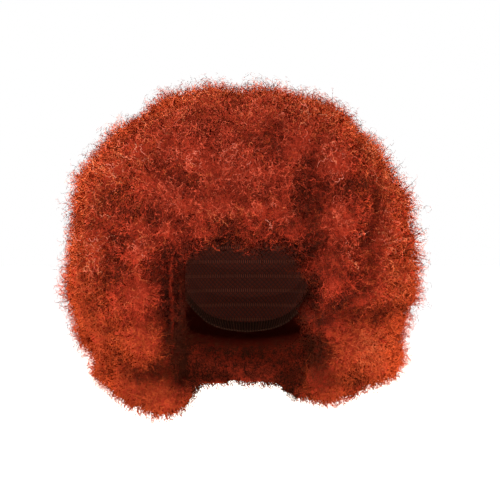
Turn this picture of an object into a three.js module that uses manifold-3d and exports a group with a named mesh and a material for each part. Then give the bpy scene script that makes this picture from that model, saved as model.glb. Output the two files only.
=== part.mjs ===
// Afro wig: a stretch-net cap, its elastic edge band, and a deep ball of frizzy hair fused from locks.
// Millimetres, +Z up, the wearer faces -Y and the wearer's left is +X.
// The origin is where the crown of the head meets the inside of the cap.
import * as THREE from "three";
import { mergeVertices } from "three/addons/utils/BufferGeometryUtils.js";
import Module from "manifold-3d";

const wasm = await Module();
wasm.setup();

// Head form that the cap is knitted to: an egg with its crown at the origin
const HEAD_HALF_WIDTH = 74;
const HEAD_HALF_LENGTH = 94;
const HEAD_HALF_HEIGHT = 92;
const HEAD_CENTRE = new THREE.Vector3(0, 0, -HEAD_HALF_HEIGHT);

// Cap and edge band
const CAP_WALL = 1.6;
const BAND_WALL = 2.4;
const BAND_WIDTH = 11;
const PIECE_GAP = 0.35;
const CAP_SIDES = 40;
const CAP_RINGS = 7;

// The cap's rim, from the middle of the forehead to the nape, alike on both sides
const CAP_RIM = [
  { part: "forehead", azimuth: 0, z: -46 },
  { part: "temple", azimuth: 42, z: -58 },
  { part: "ear tab", azimuth: 72, z: -104 },
  { part: "over the ear", azimuth: 102, z: -98 },
  { part: "behind the ear", azimuth: 138, z: -140 },
  { part: "nape", azimuth: 180, z: -150 },
];

// Hair: how far its outline reaches from the head's upright axis at each height
const HAIR_TOP = 92;
const HAIR_BOTTOM = -240;
const HAIR_LEVELS = [
  { z: 91, right: 28, left: 25, front: 26, back: 28 },
  { z: 88, right: 60, left: 50, front: 52, back: 60 },
  { z: 83, right: 88, left: 76, front: 76, back: 90 },
  { z: 71, right: 117, left: 103, front: 98, back: 118 },
  { z: 50, right: 144, left: 130, front: 118, back: 146 },
  { z: 15, right: 168, left: 152, front: 134, back: 170 },
  { z: -30, right: 182, left: 168, front: 145, back: 187 },
  { z: -75, right: 190, left: 174, front: 141, back: 192 },
  { z: -120, right: 191, left: 175, front: 122, back: 188 },
  { z: -160, right: 181, left: 165, front: 106, back: 173 },
  { z: -195, right: 164, left: 157, front: 94, back: 150 },
  { z: -218, right: 148, left: 134, front: 78, back: 122 },
  { z: -233, right: 118, left: 102, front: 62, back: 90 },
];
const HAIR_MIDDLE = (HAIR_TOP + HAIR_BOTTOM) / 2;
const BACKING_INSET = 16;
const BACKING_SQUEEZE = 1 - (2 * BACKING_INSET) / (HAIR_TOP - HAIR_BOTTOM);
const BACKING_SIDES = 28;

// Face opening below the fringe, and the neck's way through the hair
const FRINGE_EDGE_Z = -68;
const FACE_HALF_WIDTH = 58;
const FACE_CORNER = 22;
const FACE_DEPTH = 260;
const NECK_HALF_WIDTH = 56;
const NECK_HALF_LENGTH = 60;
const NECK_TOP_Z = -120;
const NECK_SIDES = 24;

// Puffs that show from the front: place across and up, radius, and how far each stands out of the backing
const FRONT_PUFFS = [
  { part: "crown", x: -34, z: 80, radius: 56, lift: 15 },
  { part: "crown", x: 22, z: 80, radius: 54, lift: 15 },
  { part: "crown", x: -4, z: 48, radius: 56, lift: 15 },
  { part: "crown", x: -74, z: 52, radius: 52, lift: 16 },
  { part: "crown", x: 62, z: 52, radius: 50, lift: 16 },
  { part: "crown", x: -36, z: 10, radius: 54, lift: 16 },
  { part: "brow", x: 26, z: 4, radius: 48, lift: 15 },
  { part: "upper right", x: -110, z: 26, radius: 44, lift: 17 },
  { part: "upper right", x: -84, z: -12, radius: 42, lift: 15 },
  { part: "upper right", x: -142, z: -10, radius: 38, lift: 17 },
  { part: "upper left", x: 88, z: 8, radius: 26, lift: 18 },
  { part: "upper left", x: 124, z: 14, radius: 40, lift: 17 },
  { part: "upper left", x: 148, z: -24, radius: 34, lift: 17 },
  { part: "fringe", x: -44, z: -38, radius: 32, lift: 19 },
  { part: "fringe", x: 0, z: -36, radius: 36, lift: 20 },
  { part: "fringe", x: 38, z: -46, radius: 28, lift: 19 },
  { part: "right temple", x: -100, z: -54, radius: 24, lift: 20 },
  { part: "right temple", x: -72, z: -58, radius: 22, lift: 18 },
  { part: "right temple", x: -102, z: -80, radius: 22, lift: 21 },
  { part: "left temple", x: 88, z: -42, radius: 34, lift: 20 },
  { part: "left temple", x: 132, z: -58, radius: 34, lift: 18 },
  { part: "right cheek", x: -146, z: -52, radius: 32, lift: 18 },
  { part: "right cheek", x: -152, z: -96, radius: 34, lift: 20 },
  { part: "right cheek", x: -106, z: -120, radius: 40, lift: 21 },
  { part: "left cheek", x: 80, z: -98, radius: 32, lift: 22 },
  { part: "left cheek", x: 116, z: -112, radius: 36, lift: 18 },
  { part: "left cheek", x: 150, z: -100, radius: 34, lift: 19 },
  { part: "right jaw", x: -146, z: -152, radius: 32, lift: 19 },
  { part: "right jaw", x: -100, z: -166, radius: 36, lift: 20 },
  { part: "left jaw", x: 112, z: -168, radius: 40, lift: 22 },
  { part: "left jaw", x: 76, z: -150, radius: 28, lift: 17 },
  { part: "right end", x: -110, z: -212, radius: 30, lift: 24 },
  { part: "right end", x: -76, z: -224, radius: 30, lift: 29 },
  { part: "left end", x: 78, z: -212, radius: 30, lift: 22 },
  { part: "left end", x: 120, z: -196, radius: 26, lift: 18 },
];

// Puffs on the sides and back, spread evenly by the golden angle, no two of one size
const BACK_PUFF_COUNT = 112;
const BACK_PUFF_RADIUS = { least: 29, most: 43 };
const BACK_PUFF_LIFT = { least: 13, most: 21 };
const BACK_STARTS_Y = -12;
const PUFF_STRETCH = new THREE.Vector3(1.12, 0.94, 1);
const GOLDEN_ANGLE = Math.PI * (3 - Math.sqrt(5));

// A repeatable value from 0 to 1 for the n-th piece of a kind
function chance(n, kind) {
  const wave = Math.sin(n * 12.9898 + kind * 78.233) * 43758.5453;
  return wave - Math.floor(wave);
}

// The value of a column of a table at a place between its rows, on a smooth curve through them
function along(rows, key, place, column) {
  const last = rows.length - 1;
  const down = rows[last][key] < rows[0][key];
  const past = rows.findIndex((row) => (down ? row[key] <= place : row[key] >= place));
  const i = THREE.MathUtils.clamp((past < 0 ? last : past) - 1, 0, last - 1);
  const share = (place - rows[i][key]) / (rows[i + 1][key] - rows[i][key]);
  const t = THREE.MathUtils.clamp(share, 0, 1);
  const at = (n) => rows[THREE.MathUtils.clamp(n, 0, last)][column];
  const slope0 = (at(i + 1) - at(i - 1)) / 2;
  const slope1 = (at(i + 2) - at(i)) / 2;
  const gap = at(i + 1) - at(i);
  return at(i) + t * (slope0 + t * (3 * gap - 2 * slope0 - slope1 + t * (slope0 + slope1 - 2 * gap)));
}

// A closed surface through rings of points. Poles shut its two ends, or without poles the last ring
// joins the first. Rings run down the outside, and points run from the front towards the wearer's left.
function loft(rings, poles = []) {
  const sides = rings[0].length;
  const points = [...rings.flat(), ...poles];
  const faces = [];
  const at = (ring, side) => (ring % rings.length) * sides + (side % sides);
  const spans = poles.length ? rings.length - 1 : rings.length;
  for (let side = 0; side < sides; side++) {
    for (let ring = 0; ring < spans; ring++) {
      faces.push(at(ring, side), at(ring + 1, side), at(ring, side + 1));
      faces.push(at(ring, side + 1), at(ring + 1, side), at(ring + 1, side + 1));
    }
    if (poles.length) {
      const top = rings.length * sides;
      faces.push(top, at(0, side), at(0, side + 1));
      faces.push(top + 1, at(spans, side + 1), at(spans, side));
    }
  }
  const geometry = new THREE.BufferGeometry().setFromPoints(points);
  geometry.setIndex(faces);
  geometry.computeVertexNormals();
  return geometry;
}

// The azimuths of a ring's points: 0 is the front, 90 degrees the wearer's left
function azimuths(sides) {
  return Array.from({ length: sides }, (_, side) => (side * 2 * Math.PI) / sides);
}

// A point on the head form grown by some millimetres, by azimuth and by angle down from the crown
function headPoint(azimuth, polar, grown) {
  const reach = Math.sin(polar);
  return new THREE.Vector3(
    (HEAD_HALF_WIDTH + grown) * reach * Math.sin(azimuth),
    -(HEAD_HALF_LENGTH + grown) * reach * Math.cos(azimuth),
    (HEAD_HALF_HEIGHT + grown) * Math.cos(polar),
  ).add(HEAD_CENTRE);
}

// The angle down from the crown at which the cap ends
function rimPolar(azimuth) {
  const degrees = THREE.MathUtils.radToDeg(azimuth);
  const z = along(CAP_RIM, "azimuth", Math.min(degrees, 360 - degrees), "z");
  return Math.acos((z - HEAD_CENTRE.z) / HEAD_HALF_HEIGHT);
}

// A ring round the head form, at a share of the way from the crown to the cap's rim and some way below that
function headRing(share, below, grown) {
  return azimuths(CAP_SIDES).map(
    (a) => headPoint(a, share * rimPolar(a) + below / HEAD_HALF_HEIGHT, grown),
  );
}

const CAP_SHARES = Array.from({ length: CAP_RINGS }, (_, i) => (i + 1) / CAP_RINGS);

function capGeometry() {
  const outside = CAP_SHARES.map((share) => headRing(share, 0, CAP_WALL));
  const inside = CAP_SHARES.map((share) => headRing(share, 0, 0)).reverse();
  return loft([...outside, ...inside], [headPoint(0, 0, CAP_WALL), headPoint(0, 0, 0)]);
}

// The band goes on where the cap ends, flush with it outside and thicker inside, where it grips
function bandGeometry() {
  const inside = CAP_WALL - BAND_WALL;
  const bottom = PIECE_GAP + BAND_WIDTH;
  return loft([
    headRing(1, PIECE_GAP, CAP_WALL),
    headRing(1, bottom, CAP_WALL),
    headRing(1, bottom, inside),
    headRing(1, PIECE_GAP, inside),
  ]);
}

// The height at which the backing lies below a height of the hair's outline
function backingHeight(z) {
  return HAIR_MIDDLE + (z - HAIR_MIDDLE) * BACKING_SQUEEZE;
}

// A point of the backing, inside the hair's outline at that height and azimuth
function backingPoint(azimuth, z) {
  const reach = (column) => Math.max(along(HAIR_LEVELS, "z", z, column) - BACKING_INSET, 1);
  return new THREE.Vector3(
    Math.sin(azimuth) * reach(Math.sin(azimuth) > 0 ? "left" : "right"),
    -Math.cos(azimuth) * reach(Math.cos(azimuth) > 0 ? "front" : "back"),
    backingHeight(z),
  );
}

function backingGeometry() {
  const rings = HAIR_LEVELS.map(({ z }) => azimuths(BACKING_SIDES).map((a) => backingPoint(a, z)));
  const poles = [HAIR_TOP, HAIR_BOTTOM].map((z) => new THREE.Vector3(0, 0, backingHeight(z)));
  return loft(rings, poles);
}

// The way out of the backing at one of its points, from its neighbours
const NEXT_AZIMUTH = THREE.MathUtils.degToRad(4);
const NEXT_HEIGHT = 8;

function outward(azimuth, z) {
  const across = backingPoint(azimuth + NEXT_AZIMUTH, z).sub(backingPoint(azimuth - NEXT_AZIMUTH, z));
  const down = backingPoint(azimuth, z - NEXT_HEIGHT).sub(backingPoint(azimuth, z + NEXT_HEIGHT));
  return down.cross(across).normalize();
}

// One puff of hair, half sunk in the backing and longer than it is wide
function puffGeometry(azimuth, z, radius, lift, number) {
  const out = outward(azimuth, z);
  const centre = backingPoint(azimuth, z).addScaledVector(out, lift - radius);
  const turn = new THREE.Quaternion().setFromUnitVectors(new THREE.Vector3(0, 0, 1), out);
  const spin = new THREE.Quaternion().setFromAxisAngle(out, 2 * Math.PI * chance(number, 1));
  const size = PUFF_STRETCH.clone().multiplyScalar(radius);
  return new THREE.IcosahedronGeometry(1, 1)
    .applyMatrix4(new THREE.Matrix4().compose(centre, spin.multiply(turn), size));
}

// A puff of the front table: the azimuth at which the backing lies at that place across the front
function frontPuff({ x, z, radius, lift }, number) {
  const side = along(HAIR_LEVELS, "z", z, x > 0 ? "left" : "right") - BACKING_INSET;
  return puffGeometry(Math.asin(THREE.MathUtils.clamp(x / side, -1, 1)), z, radius, lift, number);
}

// The puffs behind the ears and round the back, where the golden angle spreads them
function backPuffs() {
  const puffs = [];
  for (let n = 0; n < BACK_PUFF_COUNT; n++) {
    const height = (n + 0.5) / BACK_PUFF_COUNT;
    const z = THREE.MathUtils.lerp(HAIR_LEVELS[0].z, HAIR_LEVELS.at(-1).z, height);
    const azimuth = n * GOLDEN_ANGLE;
    const radius = THREE.MathUtils.lerp(BACK_PUFF_RADIUS.least, BACK_PUFF_RADIUS.most, chance(n, 2));
    const lift = THREE.MathUtils.lerp(BACK_PUFF_LIFT.least, BACK_PUFF_LIFT.most, chance(n, 3));
    if (backingPoint(azimuth, z).y > BACK_STARTS_Y) puffs.push(puffGeometry(azimuth, z, radius, lift, n));
  }
  return puffs;
}

// The face's way out to the front, as a flat-topped arch
function faceGeometry() {
  const w = FACE_HALF_WIDTH;
  const r = FACE_CORNER;
  const arch = new THREE.Shape()
    .moveTo(-w, HAIR_BOTTOM - r)
    .lineTo(w, HAIR_BOTTOM - r)
    .lineTo(w, FRINGE_EDGE_Z - r)
    .absarc(w - r, FRINGE_EDGE_Z - r, r, 0, Math.PI / 2)
    .absarc(r - w, FRINGE_EDGE_Z - r, r, Math.PI / 2, Math.PI);
  return new THREE.ExtrudeGeometry(arch, { depth: FACE_DEPTH, bevelEnabled: false, curveSegments: 4 })
    .rotateX(Math.PI / 2);
}

// The room that the head, the cap and the band take up inside the hair
function headGeometry() {
  const clear = CAP_WALL + PIECE_GAP;
  const overCap = CAP_SHARES.map((share) => headRing(share, 0, clear));
  const overBand = headRing(1, 2 * PIECE_GAP + BAND_WIDTH, clear);
  const lower = azimuths(CAP_SIDES).map((a) => headPoint(a, (rimPolar(a) + 2 * Math.PI) / 3, clear));
  return loft([...overCap, overBand, lower], [headPoint(0, 0, clear), headPoint(0, Math.PI, clear)]);
}

function neckGeometry() {
  const height = NECK_TOP_Z - HAIR_BOTTOM + FACE_CORNER;
  return new THREE.CylinderGeometry(1, 1, height, NECK_SIDES)
    .rotateX(Math.PI / 2)
    .scale(NECK_HALF_WIDTH, NECK_HALF_LENGTH, 1)
    .translate(0, 0, NECK_TOP_Z - height / 2);
}

function solidOf(geometry) {
  const bare = geometry.clone();
  bare.deleteAttribute("normal");
  bare.deleteAttribute("uv");
  const merged = mergeVertices(bare, 1e-4);
  return new wasm.Manifold(
    new wasm.Mesh({
      numProp: 3,
      vertProperties: merged.attributes.position.array,
      triVerts: new Uint32Array(merged.index.array),
    }),
  );
}

function geometryOf(solid) {
  const { vertProperties, triVerts } = solid.getMesh();
  const geometry = new THREE.BufferGeometry();
  geometry.setAttribute("position", new THREE.BufferAttribute(vertProperties, 3));
  geometry.setIndex(new THREE.BufferAttribute(triVerts, 1));
  geometry.computeVertexNormals();
  return geometry;
}

// The backing is opened for the face first, so that the puffs fused on next can overhang the opening.
function hairGeometry() {
  const open = solidOf(backingGeometry()).subtract(solidOf(faceGeometry()));
  const puffs = [...FRONT_PUFFS.map(frontPuff), ...backPuffs()];
  const fused = puffs.reduce((hair, puff) => hair.add(solidOf(puff)), open);
  return geometryOf(fused.subtract(solidOf(headGeometry())).subtract(solidOf(neckGeometry())));
}

function piece(name, geometry, material) {
  const mesh = new THREE.Mesh(geometry, new THREE.MeshStandardMaterial({ metalness: 0, ...material }));
  mesh.name = name;
  return mesh;
}

const wig = new THREE.Group();
wig.name = "afro_wig";
wig.add(
  piece("cap", capGeometry(), { color: 0x1d1512, roughness: 0.9 }),
  piece("edge_band", bandGeometry(), { color: 0x2a1d18, roughness: 0.8 }),
  piece("hair", hairGeometry(), { color: 0xa83a17, roughness: 0.85 }),
);

export default wig;
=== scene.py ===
"""Afro wig: frizzy auburn hair on a stretch-net cap, lit as a studio product shot.

Lengths are in metres, in the part's own frame.
"""

import math

import bmesh
import bpy
import numpy as np
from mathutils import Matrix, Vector, noise


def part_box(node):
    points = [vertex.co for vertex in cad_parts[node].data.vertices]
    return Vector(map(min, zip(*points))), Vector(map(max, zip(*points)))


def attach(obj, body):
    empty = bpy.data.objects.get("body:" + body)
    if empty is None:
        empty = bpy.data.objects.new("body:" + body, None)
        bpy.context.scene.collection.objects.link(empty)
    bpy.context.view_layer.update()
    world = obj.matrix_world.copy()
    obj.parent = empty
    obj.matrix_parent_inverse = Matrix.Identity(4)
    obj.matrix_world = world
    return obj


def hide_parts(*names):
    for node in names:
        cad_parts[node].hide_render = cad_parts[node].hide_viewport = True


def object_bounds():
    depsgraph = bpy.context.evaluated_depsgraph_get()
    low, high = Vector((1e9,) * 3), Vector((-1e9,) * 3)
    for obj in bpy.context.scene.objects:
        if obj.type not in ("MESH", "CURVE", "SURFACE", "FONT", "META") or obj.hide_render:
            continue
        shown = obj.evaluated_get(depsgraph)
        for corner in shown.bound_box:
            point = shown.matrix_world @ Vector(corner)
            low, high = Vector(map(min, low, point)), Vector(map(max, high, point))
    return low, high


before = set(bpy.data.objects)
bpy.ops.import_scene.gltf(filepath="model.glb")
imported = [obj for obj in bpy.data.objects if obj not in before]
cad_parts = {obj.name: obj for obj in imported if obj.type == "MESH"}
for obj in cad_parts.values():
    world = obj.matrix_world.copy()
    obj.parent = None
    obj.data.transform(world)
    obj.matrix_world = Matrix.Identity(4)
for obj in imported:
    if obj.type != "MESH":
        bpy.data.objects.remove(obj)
CAD_LOW, CAD_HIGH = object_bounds()

SEED = 11
rng = np.random.default_rng(SEED)
noise.seed_set(SEED)

UP = np.array([0, 0, 1])
SMALLEST = 1e-9
BLACK = (0, 0, 0, 1)
WHITE = (1, 1, 1, 1)

# Camera: level with the middle of the hair
CAMERA_DISTANCE = 1.372
CAMERA_SIDE = 0.003
CAMERA_HEIGHT = -0.0742
CAMERA_LENS = 100.0
CAMERA_SENSOR = 36.0

# Studio: a pale floor, a white room and area lights that face the part
FLOOR_DROP = 0.045
FLOOR_SIZE = 30.0
FLOOR_COLOUR = (0.9, 0.9, 0.9, 1)
FLOOR_ROUGHNESS = 0.8
FLOOR_GLOW = 0.6
ROOM_LIGHT = 0.5
BACKDROP_LIGHT = 1.0
PLAIN_LIGHT = (1, 1, 1)
RIM_LIGHT = (1.0, 0.80, 0.58)
LIGHTS = [
    {"name": "key", "place": (-0.9, -1.1, 1.2), "size": 0.7, "power": 35, "colour": PLAIN_LIGHT},
    {"name": "fill", "place": (1.4, -0.9, 0.3), "size": 1.0, "power": 12, "colour": PLAIN_LIGHT},
    {"name": "top", "place": (0.0, 0.3, 1.4), "size": 1.2, "power": 26, "colour": PLAIN_LIGHT},
    {"name": "right_rim", "place": (-1.1, 0.5, 0.2), "size": 0.9, "power": 38, "colour": RIM_LIGHT},
    {"name": "left_rim", "place": (1.1, 0.5, 0.2), "size": 0.9, "power": 45, "colour": RIM_LIGHT},
]

# Head form, from the cap that is knitted to it
CAP_WALL = 0.0016
_, CAP_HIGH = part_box("cap")
HEAD_HALF_WIDTH = CAP_HIGH.x - CAP_WALL
HEAD_HALF_LENGTH = CAP_HIGH.y - CAP_WALL
HEAD_HALF_HEIGHT = 0.092
HEAD_HALF = np.array([HEAD_HALF_WIDTH, HEAD_HALF_LENGTH, HEAD_HALF_HEIGHT])
HEAD_MIDDLE = np.array([0, 0, -HEAD_HALF_HEIGHT])
FACING_FROM = 0.1
FACING_FULL = 0.6

# Hair body, which the loose frizz stands on
BODY_VOXEL = 0.0032
BODY_SMOOTHING = 4
BODY_INSET = 0.0165
DOME_RISE = 0.0045
DOME_STARTS = -0.060
DOME_FULL = 0.010
ENDS_RISE = 0.0020
ENDS_START = -0.150
ENDS_FULL = -0.190
BACK_STARTS = -0.030
BACK_FULL = 0.040
FORM_SMOOTHING = 60
FORM_SOFTNESS = 0.65
HEAD_CLEAR = 0.0025
HOLLOW_FADE = 0.014
LUMPS = [
    {"size": 0.030, "height": 0.0026},
    {"size": 0.013, "height": 0.0006},
    {"size": 0.007, "height": 0.0006},
    {"size": 0.0045, "height": 0.0012},
]
LUMP_SHIFT = 3.7
PUFFS = [
    {"spacing": 0.034, "least": 0.026, "most": 0.036, "height": 0.0085},
    {"spacing": 0.018, "least": 0.012, "most": 0.018, "height": 0.0016},
]
PUFF_FLOOR = 0.45
PUFF_LOWEST = 0.5
PUFF_HIGHEST = 1.3
OUT_SMOOTHING = 9
PIT_SMOOTHING = 90
PIT_DEPTH = 0.0045
PIT_FILL = 0.8

# Painted shade in the creases and by the head
CREASES = [
    {"smoothing": 90, "depth": 0.0085},
    {"smoothing": 18, "depth": 0.0160},
]
CREASE_LIMIT = 0.55
BACK_CREASE_LIMIT = 0.26
CREASE_IN_FURROW = 0.3
SHADE_NEAR = 0.005
SHADE_FAR = 0.034
SHADE_LAG = 0.1

# What counts as the front of the hair
AHEAD_FROM = -0.03
AHEAD_FULL = 0.02
FRONT_FROM = 0.05
FRONT_FULL = 0.4

# Furrows between the puffs of the front: their course across and up, half width, depth and darkness, which
# is painted shade
FURROWS = [
    {"part": "fringe to left temple", "width": 0.011, "depth": 0.0054, "dark": 0.58,
     "course": [(0.058, 0.004), (0.053, -0.030), (0.051, -0.052)]},
    {"part": "left temple to upper left", "width": 0.010, "depth": 0.0026, "dark": 0.25,
     "course": [(0.060, -0.008), (0.088, -0.018), (0.118, -0.012)]},
    {"part": "under the fringe", "width": 0.016, "depth": 0.0, "dark": 0.52,
     "course": [(-0.056, -0.075), (-0.020, -0.069), (0.020, -0.069), (0.050, -0.074)]},
    {"part": "fringe", "width": 0.034, "depth": 0.0, "dark": 0.24,
     "course": [(-0.040, -0.034), (0.042, -0.034)]},
    {"part": "crown", "width": 0.012, "depth": 0.0024, "dark": 0.45,
     "course": [(0.024, 0.032), (0.026, 0.010)]},
    {"part": "crown, right", "width": 0.010, "depth": 0.0016, "dark": 0.15,
     "course": [(-0.062, 0.040), (-0.041, 0.044), (-0.020, 0.036)]},
    {"part": "crown, middle", "width": 0.010, "depth": 0.0012, "dark": 0.25,
     "course": [(-0.014, 0.027), (0.010, 0.022)]},
    {"part": "brow to right temple", "width": 0.009, "depth": 0.0022, "dark": 0.42,
     "course": [(-0.086, 0.000), (-0.064, -0.008), (-0.046, -0.012)]},
    {"part": "fringe to right temple", "width": 0.008, "depth": 0.0022, "dark": 0.30,
     "course": [(-0.084, -0.046), (-0.070, -0.048), (-0.052, -0.048)]},
    {"part": "over the fringe's ends", "width": 0.009, "depth": 0.0020, "dark": 0.60,
     "course": [(-0.034, -0.050), (0.000, -0.050), (0.030, -0.054)]},
    {"part": "crown to right temple", "width": 0.010, "depth": 0.0010, "dark": 0.0,
     "course": [(-0.142, -0.022), (-0.122, -0.032), (-0.098, -0.030)]},
    {"part": "right of the face", "width": 0.016, "depth": 0.0048, "dark": 1.00,
     "course": [(-0.067, -0.088), (-0.064, -0.115), (-0.061, -0.158)]},
    {"part": "right temple to face", "width": 0.008, "depth": 0.0, "dark": 0.68,
     "course": [(-0.079, -0.064), (-0.072, -0.082)]},
    {"part": "right of the neck", "width": 0.017, "depth": 0.0, "dark": 0.90,
     "course": [(-0.062, -0.166), (-0.056, -0.196)]},
    {"part": "right temple to side", "width": 0.010, "depth": 0.0015, "dark": 0.44,
     "course": [(-0.111, -0.038), (-0.110, -0.078), (-0.124, -0.112)]},
    {"part": "right cheek to jaw", "width": 0.010, "depth": 0.0006, "dark": 0.0,
     "course": [(-0.170, -0.140), (-0.124, -0.147), (-0.090, -0.140)]},
    {"part": "under the right jaw", "width": 0.008, "depth": 0.0040, "dark": 0.45,
     "course": [(-0.118, -0.190), (-0.098, -0.192), (-0.070, -0.182)]},
    {"part": "left temple to cheek", "width": 0.008, "depth": 0.0020, "dark": 0.15,
     "course": [(0.066, -0.071), (0.080, -0.073), (0.100, -0.071)]},
    {"part": "left cheek", "width": 0.015, "depth": 0.0, "dark": 0.60,
     "course": [(0.066, -0.089), (0.092, -0.102)]},
    {"part": "left temple to side", "width": 0.009, "depth": 0.0006, "dark": 0.0,
     "course": [(0.136, -0.040), (0.128, -0.084), (0.136, -0.110)]},
    {"part": "left of the face", "width": 0.011, "depth": 0.0, "dark": 1.00,
     "course": [(0.058, -0.104), (0.060, -0.150)]},
    {"part": "left cheek to jaw", "width": 0.011, "depth": 0.0040, "dark": 0.65,
     "course": [(0.062, -0.156), (0.071, -0.142), (0.083, -0.128), (0.094, -0.114)]},
    {"part": "left jaw, top", "width": 0.010, "depth": 0.0, "dark": 0.70,
     "course": [(0.062, -0.145), (0.082, -0.145)]},
    {"part": "left cheek to side", "width": 0.011, "depth": 0.0020, "dark": 0.42,
     "course": [(0.096, -0.113), (0.117, -0.112)]},
    {"part": "upper left to rim", "width": 0.009, "depth": 0.0010, "dark": 0.55,
     "course": [(0.099, 0.010), (0.101, -0.044)]},
    {"part": "left temple to rim", "width": 0.012, "depth": 0.0006, "dark": 0.0,
     "course": [(0.108, -0.030), (0.124, -0.044)]},
    {"part": "left of the neck", "width": 0.015, "depth": 0.0, "dark": 0.80,
     "course": [(0.061, -0.168), (0.066, -0.198)]},
    {"part": "right side to rim", "width": 0.010, "depth": 0.0, "dark": 0.50,
     "course": [(-0.166, -0.050), (-0.138, -0.052)]},
    {"part": "upper right to rim", "width": 0.012, "depth": 0.0, "dark": 0.36,
     "course": [(-0.124, 0.024), (-0.106, 0.036)]},
    {"part": "crown, over the brow", "width": 0.009, "depth": 0.0, "dark": 0.22,
     "course": [(-0.078, 0.026), (-0.034, 0.025)]},
    {"part": "crown, top", "width": 0.010, "depth": 0.0, "dark": 0.22,
     "course": [(-0.014, 0.058), (0.010, 0.062)]},
    {"part": "crown, left", "width": 0.010, "depth": 0.0, "dark": 0.22,
     "course": [(0.050, 0.040), (0.062, 0.020)]},
    {"part": "left side", "width": 0.010, "depth": 0.0, "dark": 0.20,
     "course": [(0.121, -0.078), (0.124, -0.100)]},
    {"part": "under the left jaw", "width": 0.006, "depth": 0.0028, "dark": 0.30,
     "course": [(0.064, -0.187), (0.080, -0.194), (0.102, -0.199)]},
]

# Notches in the outline, which run from front to back, and bulges, which have negative depths
NOTCHES = [
    {"part": "right side, high", "x": -0.174, "z": -0.022, "width": 0.012, "depth": 0.010},
    {"part": "right side, low", "x": -0.164, "z": -0.184, "width": 0.010, "depth": 0.012},
    {"part": "right end", "x": -0.102, "z": -0.230, "width": 0.022, "depth": -0.007},
    {"part": "upper left", "x": 0.131, "z": 0.022, "width": 0.030, "depth": 0.007},
    {"part": "left side", "x": 0.176, "z": -0.122, "width": 0.014, "depth": 0.003},
    {"part": "left side, low", "x": 0.165, "z": -0.155, "width": 0.012, "depth": 0.007},
    {"part": "left jaw", "x": 0.148, "z": -0.192, "width": 0.022, "depth": -0.006},
    {"part": "left end", "x": 0.074, "z": -0.222, "width": 0.020, "depth": -0.004},
    {"part": "right jaw", "x": -0.145, "z": -0.200, "width": 0.018, "depth": -0.005},
    {"part": "right end, side", "x": -0.119, "z": -0.223, "width": 0.012, "depth": 0.004},
]
NOTCH_ENDS = 0.050
NOTCH_FADES = 0.090

# Tufts that stand out of the front's puffs: place across and up, radius, height and brightness, which is a
# painted highlight
TUFTS = [
    {"part": "right temple", "x": -0.101, "z": -0.053, "radius": 0.016, "height": 0.004, "bright": 0.0},
    {"part": "right temple", "x": -0.074, "z": -0.058, "radius": 0.018, "height": 0.004, "bright": 0.0},
    {"part": "right temple", "x": -0.095, "z": -0.078, "radius": 0.018, "height": 0.005, "bright": 0.10},
    {"part": "right side", "x": -0.138, "z": -0.081, "radius": 0.022, "height": 0.005, "bright": 0.08},
    {"part": "right cheek", "x": -0.103, "z": -0.118, "radius": 0.030, "height": 0.004, "bright": 0.05},
    {"part": "right side", "x": -0.130, "z": -0.140, "radius": 0.018, "height": 0.003, "bright": 0.06},
    {"part": "right jaw", "x": -0.104, "z": -0.167, "radius": 0.030, "height": 0.005, "bright": 0.0},
    {"part": "right jaw", "x": -0.137, "z": -0.172, "radius": 0.022, "height": 0.004, "bright": 0.10},
    {"part": "upper left", "x": 0.088, "z": 0.006, "radius": 0.020, "height": 0.001, "bright": 0.0},
    {"part": "left temple", "x": 0.091, "z": -0.046, "radius": 0.030, "height": 0.004, "bright": 0.01},
    {"part": "left side", "x": 0.144, "z": -0.092, "radius": 0.020, "height": 0.005, "bright": 0.10},
    {"part": "left cheek", "x": 0.102, "z": -0.079, "radius": 0.017, "height": 0.003, "bright": 0.08},
    {"part": "left cheek", "x": 0.080, "z": -0.106, "radius": 0.028, "height": 0.004, "bright": 0.02},
    {"part": "left side", "x": 0.132, "z": -0.122, "radius": 0.020, "height": 0.004, "bright": 0.06},
    {"part": "left side", "x": 0.143, "z": -0.144, "radius": 0.018, "height": 0.003, "bright": 0.08},
    {"part": "left jaw", "x": 0.112, "z": -0.168, "radius": 0.034, "height": 0.005, "bright": 0.13},
    {"part": "left jaw, low", "x": 0.099, "z": -0.189, "radius": 0.014, "height": 0.004, "bright": 0.05},
    {"part": "fringe", "x": 0.023, "z": -0.033, "radius": 0.022, "height": 0.003, "bright": 0.04},
    {"part": "fringe", "x": -0.030, "z": -0.030, "radius": 0.024, "height": 0.003, "bright": 0.03},
    {"part": "brow", "x": -0.010, "z": 0.006, "radius": 0.026, "height": 0.003, "bright": 0.08},
    {"part": "brow", "x": -0.065, "z": -0.029, "radius": 0.018, "height": 0.003, "bright": 0.03},
    {"part": "upper right", "x": -0.045, "z": 0.012, "radius": 0.024, "height": 0.003, "bright": 0.05},
    {"part": "upper right", "x": -0.091, "z": 0.010, "radius": 0.022, "height": 0.003, "bright": 0.06},
    {"part": "upper right", "x": -0.124, "z": -0.006, "radius": 0.020, "height": 0.003, "bright": 0.08},
]
TUFT_ROUNDNESS = 1.5

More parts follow.
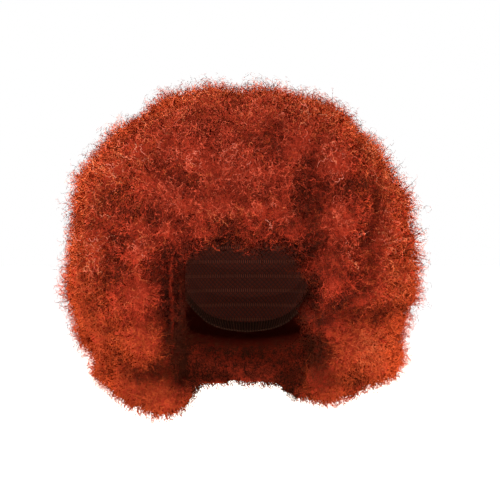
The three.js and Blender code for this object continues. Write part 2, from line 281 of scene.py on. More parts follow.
# Loose frizz: what share of the strands is of each kind, and its sizes
STRAND_COUNT = 111000
STRANDS = [
    {"kind": "fuzz", "share": 0.55, "steps": 6, "length": 0.0055, "lift": 0.0085, "width": 0.00072,
     "curl": 0.0014, "turns": 1.1, "pale": 0.22, "dark": 0.0},
    {"kind": "coil", "share": 0.36, "steps": 12, "length": 0.0120, "lift": 0.0100, "width": 0.00056,
     "curl": 0.0014, "turns": 2.2, "pale": 0.36, "dark": 0.0},
    {"kind": "wisp", "share": 0.09, "steps": 11, "length": 0.0080, "lift": 0.0130, "width": 0.00050,
     "curl": 0.0026, "turns": 1.6, "pale": 0.0, "dark": 0.10},
]
ZONES = ["crown", "front", "left", "back", "right"]
FRONT_FACING = 0.1
FRONT_SHARE = 1.7
CALM_SMOOTHING = 14
SIZE_SPREAD = (0.6, 1.4)
TURN_SPREAD = (0.7, 1.3)
BEND_SPREAD = 0.35
TILT_RANGE = (0.2, 1.0)
CURL_RUSH = 4
RUN_SHARE = 0.8
LIFT_LEAST = 0.15
LIFT_RANGE = 1.5
LIFT_SKEW = 1.5
LIFT_RUSH = 3.5
SUNK_LIFT = 0.55
ROOT_DEPTH = 0.0012
STRAND_REACH = 0.0185
SWIRL_SIZE = 0.014
SWIRL_SHARE = 0.6
CLUMP_SIZE = 0.008
CLUMP_SHIFT = 5.5
CLUMP_LIFT = 0.15
CLUMP_LOWEST = 0.3
CLUMP_HIGHEST = 1.5
ROOT_WIDTH = 1.7
TIP_WIDTH = 0.55
FACING_SPREAD = 0.7
OWN_NORMAL = 0.18

# Strands inside the neck's opening, and those that hang from the fringe and the lower ends
NECK_NEAR = 0.062
NECK_FAR = 0.085
HEM_LOW = -0.232
HEM_HIGH = -0.200
FRINGE_LOW = -0.070
FRINGE_HIGH = -0.052
FRINGE_EDGE = 0.02
FRINGE_HALF_WIDTH = 0.060
FRINGE_AHEAD = 0.8
HANG_SHARE = 0.6

# Tints of the strands, from dark at 0 to light at 1
PLAIN_TINT = 0.36
# Pale strands are a painted sheen: highlights on single fibres
PALE_TINT = 0.79
TINT_SPREAD = 0.07
TINT_LOW = 0.03
TINT_HIGH = 0.97
TINT_EDGE = 0.0015
MAP_MARGIN = 0.02
LIVELY_LOW = 0.18
LIVELY_HIGH = 0.85
LIVELY_FROM = -0.160
LIVELY_TO = -0.060
PATCH_SIZE = 0.040
PATCH_SHIFT = 9.1
PATCH_TINT = 0.084
# Painted light and shade: clumps that stand higher are painted lighter and lower ones darker
CLUMP_LIGHT_AND_SHADE = 0.015
# Painted shade for roots in creases and inside the neck's opening, and a painted highlight on tufts and puff
# tops
SUNK_SHADE = 0.58
TUFT_SHARE = 0.24

# What share of the strands is of the warm, oranger tones: by place a painted glow of light through the hair
# at its sides, crown and ends, and by patch a tone that differs at random
WARM_LEAST = 0.1
WARM_ASIDE = 0.85
ASIDE_FULL = 0.35
ASIDE_ENDS = 0.85
WARM_BELOW = 0.4
WARM_LOW = -0.190
WARM_HIGH = -0.110
WARM_PATCH = 0.25
WARM_PATCH_SIZE = 0.045
WARM_PATCH_SHIFT = 7.7

# Colours of the fibre, linear, and where they lie along the tints
TONE_PLACES = (0.01, 0.30, 0.58, 0.82, 0.99)
DEEP = (0.17, 0.0155, 0.0072, 1)
AUBURN = (0.44, 0.0410, 0.0180, 1)
PLAIN_TONES = [
    (0.036, 0.0085, 0.0050, 1),
    DEEP,
    AUBURN,
    (0.60, 0.100, 0.0510, 1),
    (0.68, 0.27, 0.200, 1),
]
WARM_TONES = [
    (0.040, 0.0100, 0.0050, 1),
    (0.18, 0.0210, 0.0065, 1),
    (0.45, 0.0590, 0.0170, 1),
    (0.60, 0.135, 0.0530, 1),
    (0.68, 0.30, 0.190, 1),
]

# Frizz from root to tip: painted shade at the root, deep in the frizz, and a painted glow of light through
# the paler tips
FRIZZ_SHADE = [
    (0.0, (0.72, 0.68, 0.68, 1)),
    (0.45, (0.92, 0.90, 0.88, 1)),
    (1.0, (1.06, 1.22, 1.26, 1)),
]
FRIZZ_ROUGHNESS = 0.6

# Matted fibre of the hair body
TANGLE_SCALE = 850
TANGLE_DETAIL = 4
TANGLE_ROUGHNESS = 0.65
TANGLE_DISTORTION = 2.5
TANGLE_TONES = [(0.15, DEEP), (0.50, AUBURN)]
TANGLE_BUMP = 0.9
TANGLE_DEPTH = 0.002
# Painted shade on the body, from none up to deep in the creases and by the head
BODY_SHADE = [
    (0.0, WHITE),
    (0.5, (0.72, 0.66, 0.66, 1)),
    (1.0, (0.09, 0.09, 0.09, 1)),
]
BODY_ROUGHNESS = 0.9

# Cap net with its rows of stitched wefts
THREAD = (0.022, 0.013, 0.010, 1)
BETWEEN_THREADS = (0.085, 0.013, 0.006, 1)
WEFT = (0.20, 0.036, 0.014, 1)
NET_COUNT = 110
NET_PITCH = 0.0048
NET_TONES = [(0.18, THREAD), (0.42, BETWEEN_THREADS)]
NET_BUMP = 0.4
NET_DEPTH = 0.0006
NET_ROUGHNESS = 0.85
NET_SPECULAR = 0.15
WEFT_PITCH = 0.015
WEFT_EDGES = [(0.70, BLACK), (0.86, WHITE)]
STITCH_COUNT = 260
STITCH_TONES = [(0.0, THREAD), (0.9, WEFT)]

# Elastic with its ribs
ELASTIC = (0.055, 0.020, 0.012, 1)
ELASTIC_GROOVE = (0.026, 0.010, 0.006, 1)
RIB_COUNT = 150
RIB_TONES = [(0.0, ELASTIC_GROOVE), (0.7, ELASTIC)]
RIB_BUMP = 0.6
RIB_DEPTH = 0.0008
ELASTIC_ROUGHNESS = 0.95
ELASTIC_SPECULAR = 0.05
SHARP_ANGLE = math.radians(45)


def add_camera():
    data = bpy.data.cameras.new("camera")
    data.lens = CAMERA_LENS
    data.sensor_width = CAMERA_SENSOR
    camera = bpy.data.objects.new("camera", data)
    camera.location = (CAMERA_SIDE, -CAMERA_DISTANCE, CAMERA_HEIGHT)
    camera.rotation_euler = (math.pi / 2, 0, 0)
    bpy.context.scene.collection.objects.link(camera)
    bpy.context.scene.camera = camera


def new_mesh(name, points, faces):
    """A mesh from an array of points and one of faces with as many corners each."""
    mesh = bpy.data.meshes.new(name)
    mesh.vertices.add(len(points))
    mesh.vertices.foreach_set("co", np.asarray(points, np.float32).ravel())
    mesh.loops.add(faces.size)
    mesh.loops.foreach_set("vertex_index", faces.ravel().astype(np.int32))
    mesh.polygons.add(len(faces))
    mesh.polygons.foreach_set("loop_start", np.arange(0, faces.size, faces.shape[1], dtype=np.int32))
    mesh.update(calc_edges=True)
    shade_smooth(mesh)
    return mesh


def shade_smooth(mesh):
    mesh.polygons.foreach_set("use_smooth", np.ones(len(mesh.polygons), bool))


def add_piece(name, mesh, material, replaced):
    """A piece of the wig that is shown in place of one of the part's solids."""
    piece = bpy.data.objects.new(name, mesh)
    bpy.context.scene.collection.objects.link(piece)
    mesh.materials.clear()
    mesh.materials.append(material)
    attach(piece, "root")
    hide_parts(replaced)


def unit(vectors):
    return vectors / np.maximum(np.linalg.norm(vectors, axis=-1, keepdims=True), SMALLEST)


def dot(first, second):
    return np.einsum("ij,ij->i", first, second)


def smooth_step(values, low, high):
    """Values from 0 at the low end to 1 at the high end, with soft ends."""
    t = np.clip((values - low) / (high - low), 0, 1)
    return t * t * (3 - 2 * t)


def noise_at(points, size, offset):
    shift = Vector((offset, 2 * offset, -offset))
    return np.array([noise.noise(Vector(p) / size + shift) for p in points])


def vectors_of(items, name):
    found = np.empty(len(items) * 3, np.float32)
    items.foreach_get(name, found)
    return found.reshape(-1, 3).astype(float)


def points_of(mesh):
    return vectors_of(mesh.vertices, "co")


def normals_of(mesh):
    return vectors_of(mesh.vertex_normals, "vector")


def edges_of(mesh):
    """The two points of each edge, one edge to a row."""
    edges = np.empty(len(mesh.edges) * 2, np.int32)
    mesh.edges.foreach_get("vertices", edges)
    return edges.reshape(-1, 2)


def set_points(mesh, points):
    mesh.vertices.foreach_set("co", points.astype(np.float32).ravel())
    mesh.update()


def smoothed(mesh, values, times):
    """Values at a mesh's points, each averaged with its neighbours a number of times."""
    edges = edges_of(mesh)
    a, b = edges.T
    count = np.bincount(edges.ravel(), minlength=len(values)).reshape(-1, 1)
    for _ in range(times):
        total = np.zeros_like(values)
        for axis in range(values.shape[1]):
            total[:, axis] += np.bincount(a, values[b, axis], len(values))
            total[:, axis] += np.bincount(b, values[a, axis], len(values))
        values = 0.5 * values + 0.5 * total / count
    return values


def without_specks(mesh, values):
    """Removes all but the largest connected surface, and gives the values of the points that stay."""
    a, b = edges_of(mesh).T
    label = np.arange(len(mesh.vertices))
    settled = False
    while not settled:
        least = label.copy()
        np.minimum.at(least, a, label[b])
        np.minimum.at(least, b, label[a])
        least = least[least]
        settled = (least == label).all()
        label = least
    stays = label == np.bincount(label).argmax()
    work = bmesh.new()
    work.from_mesh(mesh)
    bmesh.ops.delete(work, geom=[v for v in work.verts if not stays[v.index]], context="VERTS")
    work.to_mesh(mesh)
    work.free()
    return values[stays]


def head_distance(points):
    """About how far points lie outside the head form."""
    scaled = (points - HEAD_MIDDLE) / HEAD_HALF
    return (np.linalg.norm(scaled, axis=1) - 1) * HEAD_HALF.mean()


def facing_head(points, out):
    """How far points face the head's upright axis, from 0 to 1."""
    level = points * (1 - UP)
    return smooth_step(-dot(unit(level), out), FACING_FROM, FACING_FULL)


def clear_of_hollow(points, out):
    """From 0 on the wall of the hollow for the head to 1 well away from it."""
    near = 1 - smooth_step(head_distance(points), HEAD_CLEAR, HOLLOW_FADE)
    return 1 - facing_head(points, out) * near


def away_from(flat, spot, reach):
    """How far flat points lie from a spot's place across and up, in reaches."""
    return np.linalg.norm(flat - np.array([spot["x"], spot["z"]]), axis=1) / reach


def away_from_course(flat, course):
    """How far flat points lie from a course of straight stretches."""
    nearest = np.full(len(flat), np.inf)
    for start, end in zip(course[:-1], course[1:]):
        along = end - start
        share = np.clip((flat - start) @ along / (along @ along), 0, 1)[:, None]
        nearest = np.minimum(nearest, np.linalg.norm(flat - start - share * along, axis=1))
    return nearest


def front_relief(points, out):
    """How far tufts, furrows and notches raise or sink each point, and how much painted shade and painted
    highlight they put on it.
    """
    ahead = smooth_step(-points[:, 1], AHEAD_FROM, AHEAD_FULL)
    front = smooth_step(-out[:, 1], FRONT_FROM, FRONT_FULL) * ahead
    flat = points[:, [0, 2]]
    raised, bright, sunk, shade = np.zeros((4, len(points)))
    for tuft in TUFTS:
        amount = np.clip(1 - away_from(flat, tuft, tuft["radius"]) ** 2, 0, 1) ** TUFT_ROUNDNESS
        raised = np.maximum(raised, tuft["height"] * amount * front)
        bright = np.maximum(bright, tuft["bright"] * amount * ahead)
    for furrow in FURROWS:
        away = away_from_course(flat, np.array(furrow["course"])) / furrow["width"]
        amount = np.exp(-(away ** 2))
        sunk = np.maximum(sunk, furrow["depth"] * amount * front)
        shade = np.maximum(shade, furrow["dark"] * amount * ahead)
    between = 1 - smooth_step(np.abs(points[:, 1]), NOTCH_ENDS, NOTCH_FADES)
    for notch in NOTCHES:
        away = away_from(flat, notch, notch["width"])
        sunk += notch["depth"] * np.exp(-(away ** 2)) * between
    return raised - sunk, shade, bright


def puffs_at(points, puffs):
    """How far the puffs of one size, which crowd the whole hair, raise each point."""
    seeds = np.empty((0, 3))
    for place in points[rng.permutation(len(points))]:
        if len(seeds) == 0 or np.linalg.norm(seeds - place, axis=1).min() > puffs["spacing"]:
            seeds = np.vstack([seeds, place])
    raised = np.full(len(points), PUFF_FLOOR * puffs["height"])
    for place in seeds:
        radius = rng.uniform(puffs["least"], puffs["most"])
        away = np.linalg.norm(points - place, axis=1) / radius
        height = puffs["height"] * rng.uniform(PUFF_LOWEST, PUFF_HIGHEST)
        raised = np.maximum(raised, height * np.clip(1 - away ** 2, 0, 1))
    return raised


def remeshed_hair():
    """The part's own hair form in small even faces."""
    source = bpy.data.objects.new("hair_body_source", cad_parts["hair"].data.copy())
    bpy.context.scene.collection.objects.link(source)
    remesh = source.modifiers.new("remesh", "REMESH")
    remesh.mode = "VOXEL"
    remesh.voxel_size = BODY_VOXEL
    graph = bpy.context.evaluated_depsgraph_get()
    mesh = bpy.data.meshes.new_from_object(source.evaluated_get(graph), depsgraph=graph)
    bpy.data.objects.remove(source)
    return mesh


def painted_shade_at(mesh, points, out, behind, shade, bright):
    """How much painted shade points get, from -1, a painted highlight on top of a tuft, to 1, deep painted
    shade in a crease or by the head.
    """
    crease = np.zeros(len(points))
    for kind in CREASES:
        level = smoothed(mesh, points, kind["smoothing"])
        crease += dot(level - points, out) / kind["depth"]
    crease = np.minimum(crease, CREASE_LIMIT + (BACK_CREASE_LIMIT - CREASE_LIMIT) * behind)
    crease = np.maximum(crease, CREASE_IN_FURROW * crease + shade) - bright / TUFT_SHARE
    # Painted shade in the hollow by the head, where the hair lies in shadow
    by_head = 1 - smooth_step(head_distance(points), SHADE_NEAR, SHADE_FAR)
    in_hollow = by_head * (1 + SHADE_LAG) - SHADE_LAG + np.minimum(crease, 0) * (1 - by_head)
    return np.clip(np.maximum(crease, in_hollow), -1, 1)


def hair_body():
    """The matted hair under the frizz, which is the hair form softened, drawn in and lumpy, and the painted
    shade and painted highlight at its points."""
    mesh = remeshed_hair()
    points, out = points_of(mesh), normals_of(mesh)
    inner = facing_head(points, out)
    free = clear_of_hollow(points, out)[:, None]
    points += free * (smoothed(mesh, points, BODY_SMOOTHING) - points)
    upper = smooth_step(points[:, 2], DOME_STARTS, DOME_FULL)
    behind = smooth_step(points[:, 1], BACK_STARTS, BACK_FULL)
    soft = FORM_SOFTNESS * free * np.maximum(upper, behind)[:, None]
    points += soft * (smoothed(mesh, points, FORM_SMOOTHING) - points)
    set_points(mesh, points)
    out = normals_of(mesh)
    lower = 1 - smooth_step(points[:, 2], ENDS_FULL, ENDS_START)
    height = DOME_RISE * upper + ENDS_RISE * lower - BODY_INSET
    for number, lump in enumerate(LUMPS):
        height += lump["height"] * noise_at(points, lump["size"], LUMP_SHIFT * number)
    relief, shade, bright = front_relief(points, out)
    height += relief + sum(puffs_at(points, puffs) for puffs in PUFFS)
    points += free * height[:, None] * out
    too_near = np.clip(HEAD_CLEAR - head_distance(points), 0, None)[:, None]
    points += too_near * unit(points - HEAD_MIDDLE)
    set_points(mesh, points)
    out = smoothed(mesh, normals_of(mesh), OUT_SMOOTHING)
    pit = dot(smoothed(mesh, points, PIT_SMOOTHING) - points, out)
    points += out * ((1 - inner) * PIT_FILL * np.clip(pit - PIT_DEPTH, 0, None))[:, None]
    set_points(mesh, points)
    # The dark attribute holds painted shade in the creases and by the head and a painted highlight on tufts
    dark = painted_shade_at(mesh, points, out, behind, shade, bright)
    attribute = mesh.attributes.new("dark", "FLOAT", "POINT")
    attribute.data.foreach_set("value", dark.astype(np.float32))
    shade_smooth(mesh)
    return mesh, without_specks(mesh, dark)


def roots_on(mesh, dark, count):
    """Places for strands all over the hair body but its hollow: point, way out, the puff's way out without
    its small lumps, and painted shade."""
    points, out = points_of(mesh), normals_of(mesh)
    calm_out = smoothed(mesh, out, CALM_SMOOTHING)
    mesh.calc_loop_triangles()
    corners = np.empty(len(mesh.loop_triangles) * 3, np.int32)
    mesh.loop_triangles.foreach_get("vertices", corners)
    corners = corners.reshape(-1, 3)
    a, b, c = points[corners].swapaxes(0, 1)
    middle, facing = (a + b + c) / 3, unit(out[corners].sum(1))
    weight = np.linalg.norm(np.cross(b - a, c - a), axis=1)
    weight *= clear_of_hollow(middle, facing)
    weight *= np.where(facing[:, 1] < FRONT_FACING, FRONT_SHARE, 1.0)
    chosen = corners[rng.choice(len(corners), count, p=weight / weight.sum())]
    u, v = rng.random((2, count))
    over = u + v > 1
    u[over], v[over] = 1 - u[over], 1 - v[over]
    share = np.stack([1 - u - v, u, v], 1)[:, :, None]
    place = (points[chosen] * share).sum(1)
    way = unit((out[chosen] * share).sum(1))
    calm_way = unit((calm_out[chosen] * share).sum(1))
    deep = (dark[chosen] * share[:, :, 0]).sum(1)
    return place, way, calm_way, deep


def strand_lines(kind, place, way, swirl, free):
    """The middle line of each strand and the way that its flat side faces."""
    each = (len(place), 1, 1)
    t = np.linspace(0, 1, kind["steps"])[None, :, None]
    across = unit(np.cross(way, SWIRL_SHARE * swirl + rng.normal(size=(len(place), 3))))
    beside = np.cross(way, across)[:, None]
    across, way = across[:, None], way[:, None]
    length = kind["length"] * rng.uniform(*SIZE_SPREAD, each)
    lift = kind["lift"] * (LIFT_LEAST + LIFT_RANGE * rng.random(each) ** LIFT_SKEW) * free[:, None, None]
    curl = kind["curl"] * rng.uniform(*SIZE_SPREAD, each)
    turns = kind["turns"] * rng.uniform(*TURN_SPREAD, each) * rng.choice([-1, 1], each)
    phase = rng.uniform(0, 2 * math.pi, each)
    bend = rng.normal(0, BEND_SPREAD, each)
    tilt = rng.uniform(*TILT_RANGE, each)
    angle = phase + 2 * math.pi * turns * t
    opened = curl * np.minimum(1, CURL_RUSH * t)
    line = place[:, None] + way * (lift * (1 - (1 - t) ** LIFT_RUSH) - ROOT_DEPTH)
    line = line + across * length * (RUN_SHARE * t) + beside * length * bend * t * t
    line = line + opened * (np.cos(angle) - np.cos(phase)) * beside
    line = line + opened * (np.sin(angle) - np.sin(phase)) * (tilt * across + (1 - tilt) * way)
    facing = unit(way + FACING_SPREAD * rng.normal(size=(len(place), 1, 3)))
    short = np.clip(np.array(CAD_LOW) - STRAND_REACH - line.min(1), 0, None)
    past = np.clip(line.max(1) - np.array(CAD_HIGH) - STRAND_REACH, 0, None)
    return line + (short - past)[:, None], facing


def ribbons(kind, line, facing, way, tint):
    """Points, faces, map and normals of flat strands, wide at the root and fine at the tip. Each stretch of
    a strand is one face, from an edge of it to a corner of the next, on either side in turn. The normals
    lean to the hair's own way out, so that a puff is shaded as one soft form."""
    count, steps = line.shape[:2]
    t = np.linspace(0, 1, steps)
    side = unit(np.cross(np.gradient(line, axis=1), facing))
    width = kind["width"] * (ROOT_WIDTH + (TIP_WIDTH - ROOT_WIDTH) * t)
    edges = np.array([-0.5, 0.5])
    points = line[:, :, None] + side[:, :, None] * (width[:, None] * edges)[None, :, :, None]
    points = points.reshape(-1, 3)
    first = 2 * (steps * np.arange(count)[:, None] + np.arange(steps - 1))
    turned = np.arange(steps - 1) % 2
    faces = np.stack([first, first + 1, first + 2 + turned], -1).reshape(-1, 3)
    normals = np.repeat(unit(way + OWN_NORMAL * facing[:, 0]), 2 * steps, axis=0)
    a, b, c = points[faces].swapaxes(0, 1)
    inward = dot(np.cross(b - a, c - a), normals[faces[:, 0]]) < 0
    faces[inward] = faces[inward][:, ::-1]
    u = np.broadcast_to(tint[:, None, None] + 2 * TINT_EDGE * edges, (count, steps, 2))
    v = np.broadcast_to(MAP_MARGIN + (1 - 2 * MAP_MARGIN) * t[None, :, None], u.shape)
    return points, faces, np.stack([u, v], -1).reshape(-1, 2), normals


def zone_of(place):
    """The zone of each root: the crown by height, and the rest by azimuth, alike in number."""
    crown = place[:, 2] >= np.quantile(place[:, 2], 1 - 1 / len(ZONES))
    zone = np.zeros(len(place), int)
    azimuth = np.arctan2(place[:, 0], -place[:, 1])
    turned = (azimuth + math.pi / 4) % (2 * math.pi)
    ranks = np.argsort(np.argsort(turned[~crown]))
    zone[~crown] = 1 + ranks * (len(ZONES) - 1) // max(len(ranks), 1)
    return zone


def hanging_at(place):
    """How far strands hang down, from 0 to 1: those of the lower ends and of the fringe over the face."""
    hem = 1 - smooth_step(place[:, 2], HEM_LOW, HEM_HIGH)
    over_face = (np.abs(place[:, 0]) < FRINGE_HALF_WIDTH) & (place[:, 1] < -HEAD_HALF_LENGTH * FRINGE_AHEAD)
    above_edge = place[:, 2] > FRINGE_LOW - FRINGE_EDGE
    fringe = 1 - smooth_step(place[:, 2], FRINGE_LOW, FRINGE_HIGH)
    return np.maximum(hem, fringe * over_face * above_edge)


def warmth_at(place):
    """What share of the strands is of the warm, oranger tones: most on the sides, the crown and the ends,
    least in the middle of the front and back. By place it is a painted glow of light through the hair at its
    rim; its patches are a tone that differs at random."""
    middle = np.array((CAD_LOW + CAD_HIGH) / 2)
    ahead = np.abs(unit(place - middle)[:, 1])
    aside = 1 - smooth_step(ahead, ASIDE_FULL, ASIDE_ENDS)
    low = 1 - smooth_step(place[:, 2], WARM_LOW, WARM_HIGH)
    patch = noise_at(place, WARM_PATCH_SIZE, WARM_PATCH_SHIFT)
    return WARM_LEAST + WARM_ASIDE * aside + WARM_BELOW * low + WARM_PATCH * patch


def tints_at(place, deep, sunk, clump, of_kind):
    """Where strands lie across the map of tones: plain ones in its first half, warm ones in its second."""
    pale_share = np.array([kind["pale"] for kind in STRANDS])[of_kind]
    darker = np.array([kind["dark"] for kind in STRANDS])[of_kind]
    # Pale strands stand in for highlights on the fibres, a painted sheen
    pale = rng.random(len(place)) < pale_share
    paler = PALE_TINT - PLAIN_TINT
    spread = paler * (pale - pale_share) + TINT_SPREAD * rng.normal(size=len(place))
    lively = LIVELY_LOW + (LIVELY_HIGH - LIVELY_LOW) * smooth_step(place[:, 2], LIVELY_FROM, LIVELY_TO)
    tint = PLAIN_TINT + paler * pale_share + lively * spread
    # Random patches and the darker wisps are the fibre's own tone; clumps get painted light and shade by
    # their height
    tint += PATCH_TINT * noise_at(place, PATCH_SIZE, PATCH_SHIFT) + CLUMP_LIGHT_AND_SHADE * clump - darker
    # Painted highlight on tufts and puff tops, painted shade for sunk roots
    tint += TUFT_SHARE * np.clip(-deep, 0, 1) - SUNK_SHADE * sunk
    warm = rng.random(len(place)) < warmth_at(place)
    return (np.clip(tint, TINT_LOW, TINT_HIGH) + warm) / 2


def add_frizz(body, dark, material):
    """The loose strands, one piece for each zone of the hair."""
    place, way, calm_way, deep = roots_on(body, dark, STRAND_COUNT)
    swirl = np.array([noise.noise_vector(Vector(p) / SWIRL_SIZE) for p in place])
    clump = noise_at(place, CLUMP_SIZE, CLUMP_SHIFT)
    # Sunk is how deep in painted shade a root lies, in a crease or inside the neck's opening; it also
    # shortens the strand
    within = facing_head(place, way)
    within *= 1 - smooth_step(np.linalg.norm(place[:, :2], axis=1), NECK_NEAR, NECK_FAR)
    sunk = np.clip(deep + within, 0, 1)
    hang = hanging_at(place)
    way = unit(way - HANG_SHARE * hang[:, None] * UP)
    free = 1 - SUNK_LIFT * sunk * (1 - hang)
    free *= np.clip(1 + CLUMP_LIFT * clump, CLUMP_LOWEST, CLUMP_HIGHEST)
    shares = np.cumsum([kind["share"] for kind in STRANDS])
    of_kind = np.searchsorted(shares, rng.random(len(place)) * shares[-1])
    tint = tints_at(place, deep, sunk, clump, of_kind)
    zone = zone_of(place)
    for number, name in enumerate(ZONES):
        made, offset = [], 0
        for index, kind in enumerate(STRANDS):
            mine = (zone == number) & (of_kind == index)
            line, facing = strand_lines(kind, place[mine], way[mine], swirl[mine], free[mine])
            points, faces, places, normals = ribbons(kind, line, facing, calm_way[mine], tint[mine])
            made.append((points, faces + offset, places, normals))
            offset += len(points)
        points, faces, places, normals = (np.concatenate(part) for part in zip(*made))
        mesh = new_mesh("frizz_" + name, points, faces)
        layer = mesh.uv_layers.new(name="OFBake")
        layer.uv.foreach_set("vector", places[faces.ravel()].astype(np.float32).ravel())
        mesh.normals_split_custom_set_from_vertices(normals)
        add_piece("frizz_" + name, mesh, material, "hair")


def new_material(name):
    material = bpy.data.materials.new(name)
    material.use_nodes = True
    nodes = material.node_tree.nodes
    return material, nodes, material.node_tree.links, nodes["Principled BSDF"]


def set_finish(shader, roughness, specular):
    shader.inputs["Roughness"].default_value = roughness
    shader.inputs["Specular IOR Level"].default_value = specular


def ramp(nodes, stops):
    """A colour ramp with stops of a position and a colour each."""
    node = nodes.new("ShaderNodeValToRGB")
    elements = node.color_ramp.elements
    while len(elements) < len(stops):
        elements.new(0.5)
    for element, (position, colour) in zip(elements, stops):
        element.position = position
        element.color = colour
    return node


def multiplied(nodes, links, first, second):
    """A colour socket that holds the product of two others."""
    blend = nodes.new("ShaderNodeMix")
    blend.data_type = "RGBA"
    blend.blend_type = "MULTIPLY"
    blend.inputs["Factor"].default_value = 1
    links.new(first, blend.inputs["A"])
    links.new(second, blend.inputs["B"])
    return blend.outputs["Result"]


def maths(nodes, links, operation, first, second=None, value=None):
    """A socket that holds an operation on one socket and a second one or a value."""
    node = nodes.new("ShaderNodeMath")
    node.operation = operation
    links.new(first, node.inputs[0])
    if second is not None:
        links.new(second, node.inputs[1])
    if value is not None:
        node.inputs[1].default_value = value
    return node.outputs[0]


def waves(nodes, links, socket, count):
    """The sine of a socket's value times a count."""
    return maths(nodes, links, "SINE", maths(nodes, links, "MULTIPLY", socket, value=count))


def axes_and_azimuth(nodes, links):
    """The node that splits a place into its axes, and its azimuth about the head."""
    coordinates = nodes.new("ShaderNodeTexCoord")
    split = nodes.new("ShaderNodeSeparateXYZ")
    links.new(coordinates.outputs["Object"], split.inputs[0])
    return split, maths(nodes, links, "ARCTAN2", split.outputs["X"], split.outputs["Y"])


def add_bump(nodes, links, shader, height, strength, distance):
    bump = nodes.new("ShaderNodeBump")
    bump.inputs["Strength"].default_value = strength
    bump.inputs["Distance"].default_value = distance
    links.new(height, bump.inputs["Height"])
    links.new(bump.outputs["Normal"], shader.inputs["Normal"])


def frizz_material():
    """Strand colour from its tint, across the map, and from root to tip, up the map, with painted shade at
    the root and a painted glow of light at the paler tip.
    """
    material, nodes, links, shader = new_material("frizz")
    places = nodes.new("ShaderNodeUVMap")
    places.uv_map = "OFBake"
    split = nodes.new("ShaderNodeSeparateXYZ")
    links.new(places.outputs["UV"], split.inputs[0])
    stops = [(warm + place) / 2 for warm in (0, 1) for place in TONE_PLACES]
    tints = ramp(nodes, list(zip(stops, PLAIN_TONES + WARM_TONES)))
    links.new(split.outputs["X"], tints.inputs["Fac"])
    shade = ramp(nodes, FRIZZ_SHADE)
    links.new(split.outputs["Y"], shade.inputs["Fac"])
    colour = multiplied(nodes, links, tints.outputs["Color"], shade.outputs["Color"])
    links.new(colour, shader.inputs["Base Color"])
    set_finish(shader, FRIZZ_ROUGHNESS, 0.0)
    return material


def body_material():
    """Matted fibre: warped fine noise as tangled strands, with painted shade in the creases and by the head.
    """
    material, nodes, links, shader = new_material("matted_hair")
    coordinates = nodes.new("ShaderNodeTexCoord")
    tangle = nodes.new("ShaderNodeTexNoise")
    tangle.inputs["Scale"].default_value = TANGLE_SCALE
    tangle.inputs["Detail"].default_value = TANGLE_DETAIL
    tangle.inputs["Roughness"].default_value = TANGLE_ROUGHNESS
    tangle.inputs["Distortion"].default_value = TANGLE_DISTORTION
    links.new(coordinates.outputs["Object"], tangle.inputs["Vector"])
    tones = ramp(nodes, TANGLE_TONES)
    links.new(tangle.outputs["Fac"], tones.inputs["Fac"])
    dark = nodes.new("ShaderNodeAttribute")
    dark.attribute_name = "dark"
    depth = ramp(nodes, BODY_SHADE)
    links.new(dark.outputs["Fac"], depth.inputs["Fac"])
    colour = multiplied(nodes, links, tones.outputs["Color"], depth.outputs["Color"])
    links.new(colour, shader.inputs["Base Color"])
    add_bump(nodes, links, shader, tangle.outputs["Fac"], TANGLE_BUMP, TANGLE_DEPTH)
    set_finish(shader, BODY_ROUGHNESS, 0.0)
    return material


def net_material():
    """A stretch net of diamonds, with the hair's roots between its threads, and rows of stitched wefts."""
    material, nodes, links, shader = new_material("cap_net")
    split, azimuth = axes_and_azimuth(nodes, links)
    around = maths(nodes, links, "MULTIPLY", azimuth, value=NET_COUNT / 2)
    up = maths(nodes, links, "MULTIPLY", split.outputs["Z"], value=math.pi / NET_PITCH)
    beside = []
    for operation in ("ADD", "SUBTRACT"):
        wave = maths(nodes, links, "SINE", maths(nodes, links, operation, around, up))
        beside.append(maths(nodes, links, "ABSOLUTE", wave))
    threads = maths(nodes, links, "MINIMUM", beside[0], beside[1])
    net = ramp(nodes, NET_TONES)
    links.new(threads, net.inputs["Fac"])
    track = ramp(nodes, WEFT_EDGES)
    links.new(waves(nodes, links, up, 2 * NET_PITCH / WEFT_PITCH), track.inputs["Fac"])
    weft = ramp(nodes, STITCH_TONES)
    links.new(waves(nodes, links, azimuth, STITCH_COUNT), weft.inputs["Fac"])
    both = nodes.new("ShaderNodeMix")
    both.data_type = "RGBA"
    links.new(track.outputs["Color"], both.inputs["Factor"])
    links.new(net.outputs["Color"], both.inputs["A"])
    links.new(weft.outputs["Color"], both.inputs["B"])
    links.new(both.outputs["Result"], shader.inputs["Base Color"])
    relief = maths(nodes, links, "SUBTRACT", track.outputs["Color"], threads)
    add_bump(nodes, links, shader, relief, NET_BUMP, NET_DEPTH)
    set_finish(shader, NET_ROUGHNESS, NET_SPECULAR)
    return material


def elastic_material():
    """A woven elastic with upright ribs."""
    material, nodes, links, shader = new_material("elastic")
    _, azimuth = axes_and_azimuth(nodes, links)
    ribs = waves(nodes, links, azimuth, RIB_COUNT)
    tones = ramp(nodes, RIB_TONES)
    links.new(ribs, tones.inputs["Fac"])
    links.new(tones.outputs["Color"], shader.inputs["Base Color"])
    add_bump(nodes, links, shader, ribs, RIB_BUMP, RIB_DEPTH)
    set_finish(shader, ELASTIC_ROUGHNESS, ELASTIC_SPECULAR)
    return material


def dress_cap():
    """Materials for the cap and its band, which stay as the part's solids."""
    for name, material in (("cap", net_material()), ("edge_band", elastic_material())):
        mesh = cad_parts[name].data
        mesh.materials.clear()
        mesh.materials.append(material)
        shade_smooth(mesh)
        mesh.set_sharp_from_angle(angle=SHARP_ANGLE)


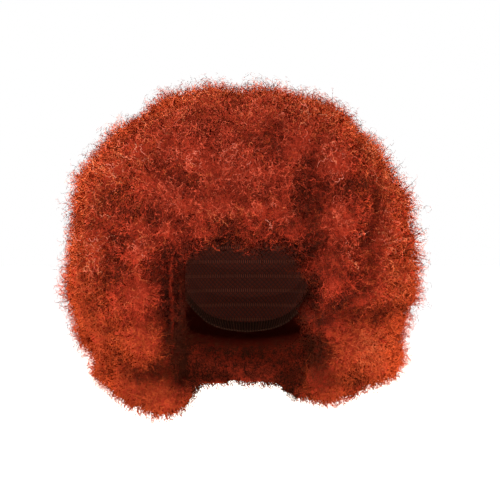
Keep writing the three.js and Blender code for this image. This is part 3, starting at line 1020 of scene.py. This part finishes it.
def add_floor():
    level = CAD_LOW.z - FLOOR_DROP
    corners = FLOOR_SIZE / 2 * np.array([[-1, -1, 0], [1, -1, 0], [1, 1, 0], [-1, 1, 0]]) + level * UP
    mesh = new_mesh("floor", corners, np.array([[0, 1, 2, 3]]))
    material, _, _, shader = new_material("pale_floor")
    shader.inputs["Base Color"].default_value = FLOOR_COLOUR
    shader.inputs["Roughness"].default_value = FLOOR_ROUGHNESS
    shader.inputs["Emission Color"].default_value = WHITE
    shader.inputs["Emission Strength"].default_value = FLOOR_GLOW
    mesh.materials.append(material)
    floor = bpy.data.objects.new("floor", mesh)
    bpy.context.scene.collection.objects.link(floor)


def add_room():
    """A white room, whose backdrop looks brighter than the light that it gives."""
    world = bpy.data.worlds.new("studio")
    bpy.context.scene.world = world
    world.use_nodes = True
    nodes, links = world.node_tree.nodes, world.node_tree.links
    room = nodes["Background"]
    backdrop = nodes.new("ShaderNodeBackground")
    for light, strength in ((room, ROOM_LIGHT), (backdrop, BACKDROP_LIGHT)):
        light.inputs["Color"].default_value = WHITE
        light.inputs["Strength"].default_value = strength
    path = nodes.new("ShaderNodeLightPath")
    pick = nodes.new("ShaderNodeMixShader")
    links.new(path.outputs["Is Camera Ray"], pick.inputs[0])
    links.new(room.outputs[0], pick.inputs[1])
    links.new(backdrop.outputs[0], pick.inputs[2])
    links.new(pick.outputs[0], nodes["World Output"].inputs["Surface"])


def add_lights():
    middle = (CAD_LOW + CAD_HIGH) / 2
    for kind in LIGHTS:
        data = bpy.data.lights.new(kind["name"], "AREA")
        data.size = kind["size"]
        data.energy = kind["power"]
        data.color = kind["colour"]
        light = bpy.data.objects.new(kind["name"], data)
        light.location = kind["place"]
        light.rotation_euler = (middle - Vector(kind["place"])).to_track_quat("-Z", "Y").to_euler()
        light.visible_camera = False
        bpy.context.scene.collection.objects.link(light)


add_camera()
body, dark = hair_body()
add_frizz(body, dark, frizz_material())
add_piece("hair_body", body, body_material(), "hair")
dress_cap()
add_floor()
add_room()
add_lights()
bpy.context.scene.view_settings.view_transform = "Standard"
